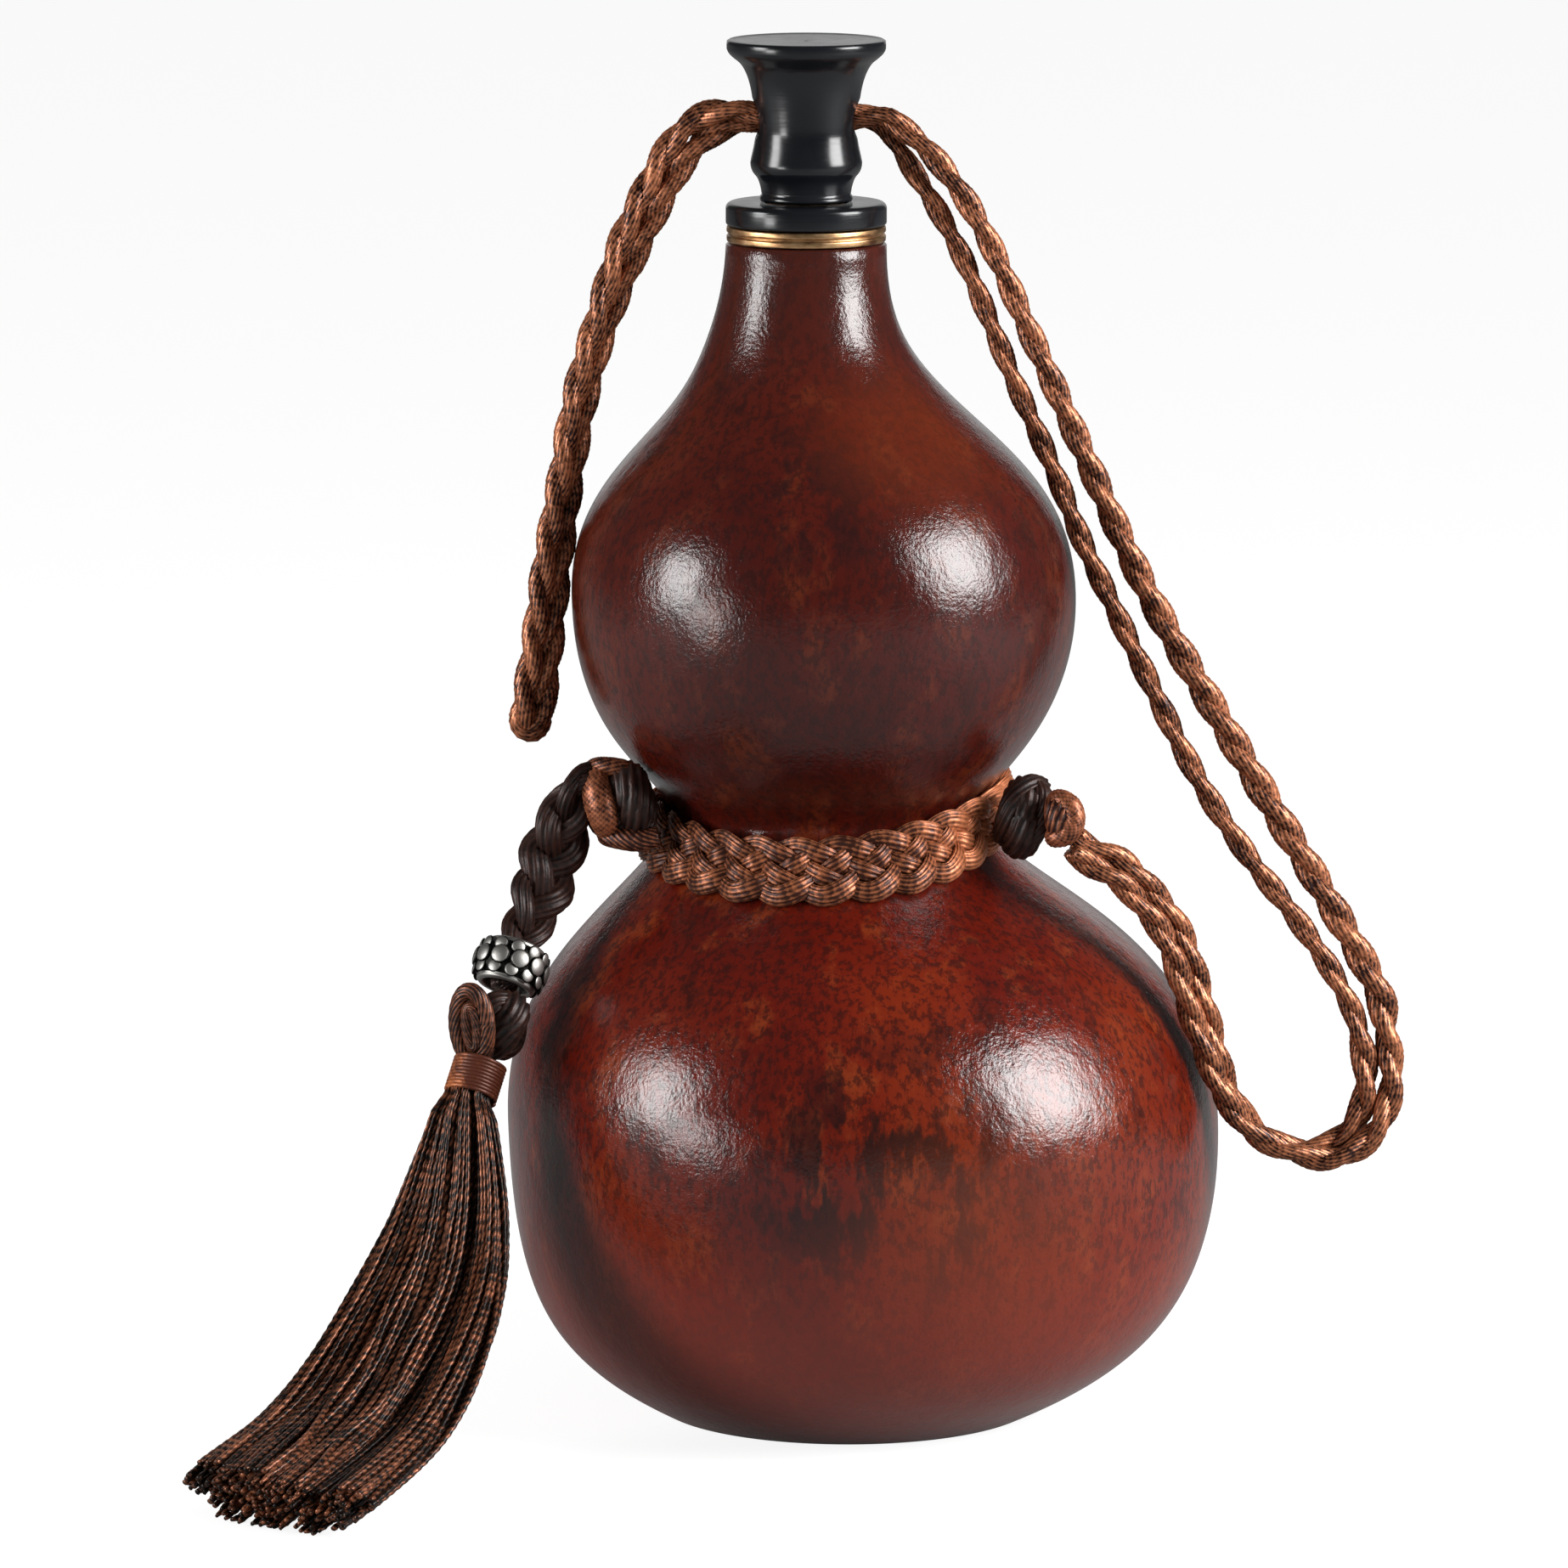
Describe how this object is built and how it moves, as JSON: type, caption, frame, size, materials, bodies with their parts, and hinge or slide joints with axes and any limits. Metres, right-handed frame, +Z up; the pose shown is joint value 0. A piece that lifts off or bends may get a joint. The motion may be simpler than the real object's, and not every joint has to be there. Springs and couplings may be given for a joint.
{
  "type": "gourd bottle",
  "caption": "Standing red-brown lacquered bottle gourd with a black turned stopper, braided waist belt, twisted strap and a tassel with a silver bead",
  "frame": {"origin": "on the resting plane, under the centre of the gourd's belly", "axes": "+Z up, -Y towards the viewer of the picture, +X to the right of the picture"},
  "size_m": [0.1736, 0.1376, 0.2002],
  "materials": {
    "gourd_lacquer": "satin lacquer, mottled",
    "brass_ring": "satin",
    "black_resin": "polished",
    "cork": "raw cork",
    "satin_cord": "satin twisted and braided cord",
    "dark_cord": "satin knotted cord",
    "binding_thread": "satin thread",
    "fringe_thread": "loose silky threads",
    "antique_silver": "antiqued, worn bright on the high spots"
  },
  "bodies": {
    "bottle": {"gourd_body": "gourd_lacquer", "neck_ring": "brass_ring", "mouth_collar": "black_resin", "waist_belt": "satin_cord", "left_knot": "dark_cord", "right_knot": "dark_cord", "button_knot": "satin_cord", "strap_lower_loop": "satin_cord"},
    "stopper": {"stopper_knob": "black_resin", "stopper_cork": "cork", "strap_left_fall": "satin_cord", "strap_outer_strand": "satin_cord", "strap_inner_strand": "satin_cord"},
    "tassel": {"hanger_braid": "dark_cord", "tassel_head_knot": "dark_cord", "tassel_binding": "binding_thread", "tassel_fringe": "fringe_thread"},
    "bead": {"silver_bead": "antique_silver"}
  },
  "joints": [
    {"name": "stopper_lift", "type": "slide", "parent": "bottle", "child": "stopper", "axis": [0, 0, 1], "range_m": [0, 0.04]},
    {"name": "tassel_swing", "type": "hinge", "parent": "bottle", "child": "tassel", "pos_m": [-0.04586, -0.01255, 0.083], "axis": [-0.6, 0.8, 0], "range_deg": [0, 60]},
    {"name": "bead_slide", "type": "slide", "parent": "tassel", "child": "bead", "axis": [0.2801, 0.4551, 0.8452], "range_m": [0, 0.006]}
  ]
}
